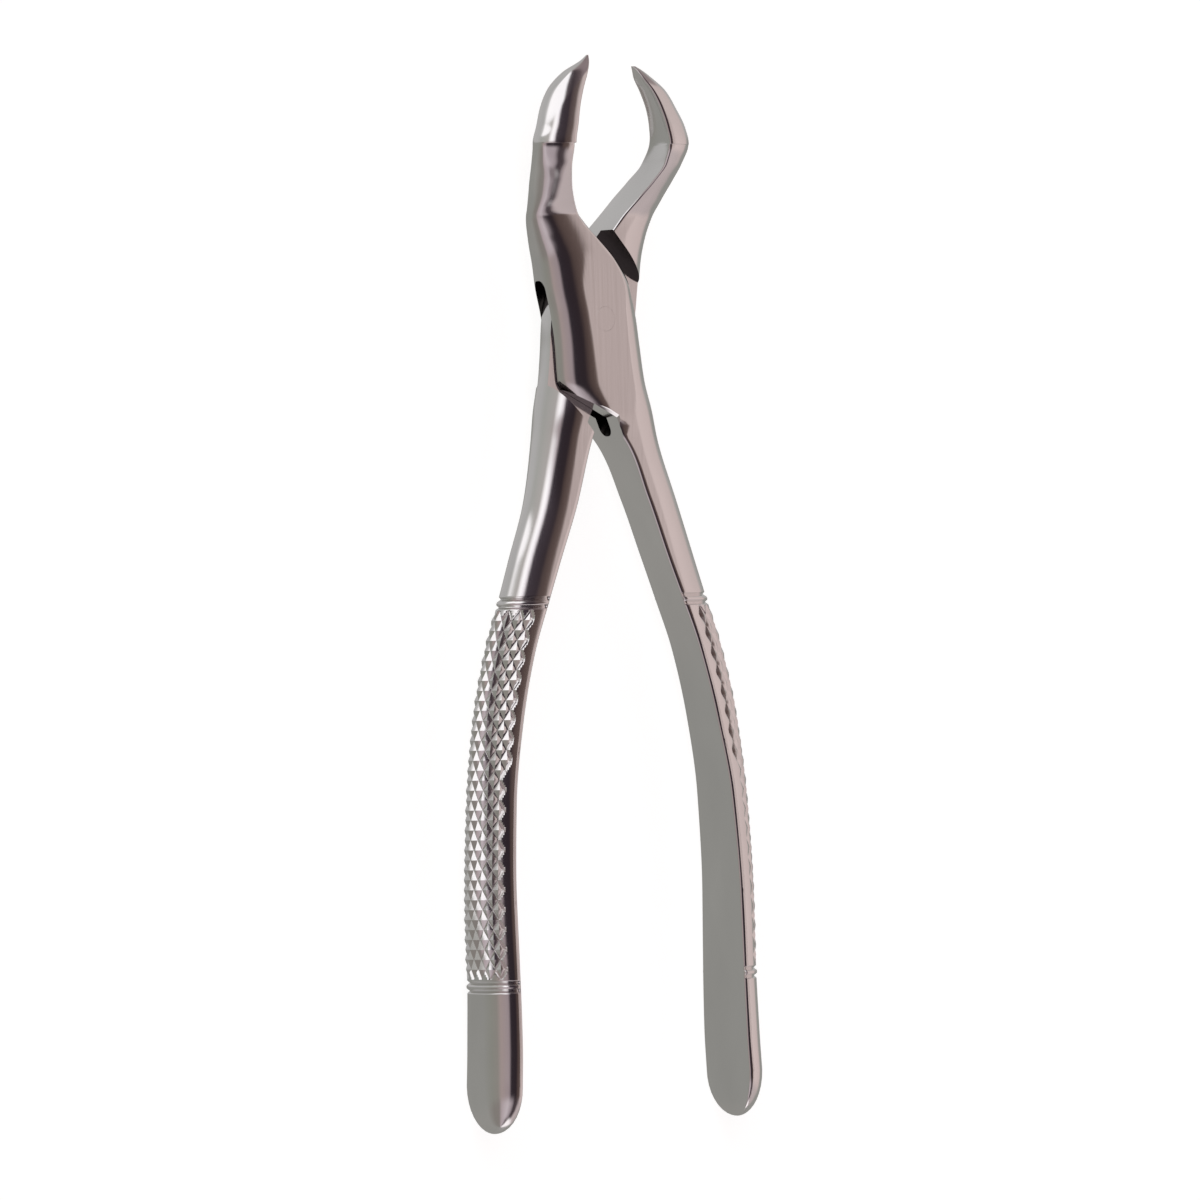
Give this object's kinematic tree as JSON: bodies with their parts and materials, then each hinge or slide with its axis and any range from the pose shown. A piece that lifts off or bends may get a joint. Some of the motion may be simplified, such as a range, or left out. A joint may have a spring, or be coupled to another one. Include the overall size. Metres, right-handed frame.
{
  "type": "extraction forceps",
  "caption": "Dental extraction forceps with a box joint, curved spoon beaks and knurled handles, lying on its back.",
  "frame": {"origin": "centre of the bounding box at its lowest height, where the tool lies on its back", "axes": "+X along the tool towards the beak tips, +Z along the pivot pin, up from the back face to the front face"},
  "size_m": [0.1736, 0.0582, 0.0161],
  "materials": {
    "polished_steel": "polished",
    "ground_steel": "satin"
  },
  "bodies": {
    "box_body": {"box_lever": "polished_steel", "pivot_pin": "polished_steel"},
    "tongue_body": {"tongue_lever": "polished_steel"}
  },
  "joints": [
    {"name": "box_joint", "type": "hinge", "parent": "box_body", "child": "tongue_body", "pos_m": [0.04421, 0.00145, 0.00565], "axis": [0, 0, 1], "range_deg": [-18, 11.5]}
  ]
}
